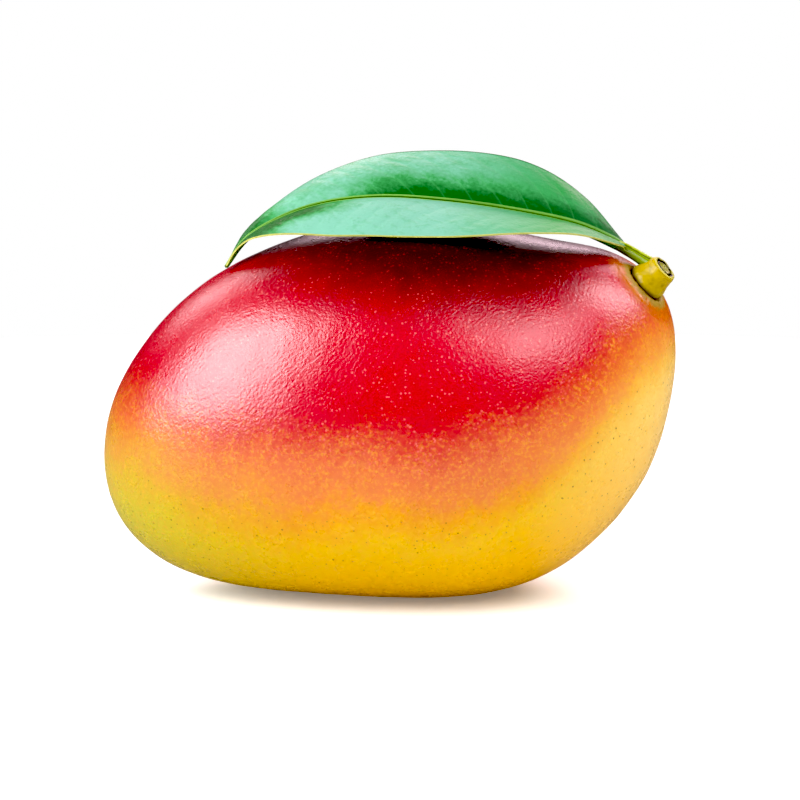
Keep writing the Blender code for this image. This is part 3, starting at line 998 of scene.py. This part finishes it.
def matt_white_paper(settings):
    """Matt white paper over a softly lit table: an even pale ground with a soft contact shadow."""
    material, tree, shader = new_material("matt white paper")
    # The gloss mirrors a dimmer floor, which keeps the colours low on the fruit rich.
    mirrored = add(tree, "LightPath", out="Is Glossy Ray")
    paper = add(tree, "Mix", {0: mirrored, 6: settings.floor, 7: settings.floor_mirrored}, out=2,
                data_type="RGBA")
    glow = add(tree, "MapRange", {"Value": mirrored, "To Min": settings.floor_glow, "To Max": 0.0})
    connect(tree, shader, {"Base Color": paper, "Roughness": 0.9,
                           "Emission Color": settings.floor, "Emission Strength": glow})
    return material


class MANGO_OT_stage(bpy.types.Operator):
    """Builds the pale floor, the soft lights, the room and the camera."""

    bl_idname = "mango.stage"
    bl_label = "Studio"

    def execute(self, context):
        settings = context.scene.mango.stage
        scene = context.scene
        shape = bmesh.new()
        bmesh.ops.create_circle(
            shape, cap_ends=True, segments=FLOOR_SIDES, radius=settings.floor_radius)
        mesh = bpy.data.meshes.new("studio_floor")
        shape.to_mesh(mesh)
        shape.free()
        mesh.materials.append(matt_white_paper(settings))
        floor = bpy.data.objects.new("studio_floor", mesh)
        scene.collection.objects.link(floor)

        for name, *placing in SOFTBOXES:
            softbox(name + "_softbox", getattr(settings, name + "_strength"), *placing)

        world = bpy.data.worlds.new("pale_room")
        scene.world = world
        world.use_nodes = True
        tree = world.node_tree
        seen = add(tree, "LightPath", out="Is Camera Ray")
        strength = add(tree, "MapRange", {"Value": seen, "To Min": settings.room_strength,
                                          "To Max": 1.0})
        connect(tree, tree.nodes["Background"], {"Color": (1.0, 1.0, 1.0), "Strength": strength})
        scene.view_settings.view_transform = "Standard"
        scene.view_settings.use_curve_mapping = True
        scene.view_settings.curve_mapping.black_level = (settings.black_level,) * 3

        lens = bpy.data.cameras.new("studio_camera")
        lens.lens = CAMERA_LENS
        lens.sensor_width = CAMERA_SENSOR
        camera = bpy.data.objects.new("studio_camera", lens)
        back = Vector((0.0, -math.cos(CAMERA_ELEVATION), math.sin(CAMERA_ELEVATION)))
        camera.location = CAMERA_AIM + back * CAMERA_DISTANCE
        camera.rotation_euler = (0.5 * math.pi - CAMERA_ELEVATION, 0.0, 0.0)
        scene.collection.objects.link(camera)
        scene.camera = camera
        return {"FINISHED"}


class MANGO_PT_parts(bpy.types.Panel):
    """Lists the parts of the mango with their sizes and colours."""

    bl_idname = "MANGO_PT_parts"
    bl_label = "Mango"
    bl_space_type = "VIEW_3D"
    bl_region_type = "UI"
    bl_category = "Mango"

    def draw(self, context):
        groups = context.scene.mango
        for part in groups.__annotations__:
            box = self.layout.box()
            box.operator("mango." + part)
            settings = getattr(groups, part)
            for name in settings.__annotations__:
                box.prop(settings, name)


CLASSES = (
    MangoFruitSettings, MangoStemSettings, MangoStalkSettings, MangoLeafSettings,
    MangoStageSettings, MangoSettings, MANGO_OT_fruit, MANGO_OT_stem, MANGO_OT_stalk,
    MANGO_OT_leaf, MANGO_OT_stage, MANGO_PT_parts,
)


def register():
    for item in CLASSES:
        bpy.utils.register_class(item)
    bpy.types.Scene.mango = PointerProperty(type=MangoSettings)


def unregister():
    del bpy.types.Scene.mango
    for item in reversed(CLASSES):
        bpy.utils.unregister_class(item)


def main():
    register()
    bpy.ops.mango.fruit()
    bpy.ops.mango.stem()
    bpy.ops.mango.stalk()
    bpy.ops.mango.leaf()
    bpy.ops.mango.stage()


if __name__ == "__main__":
    main()
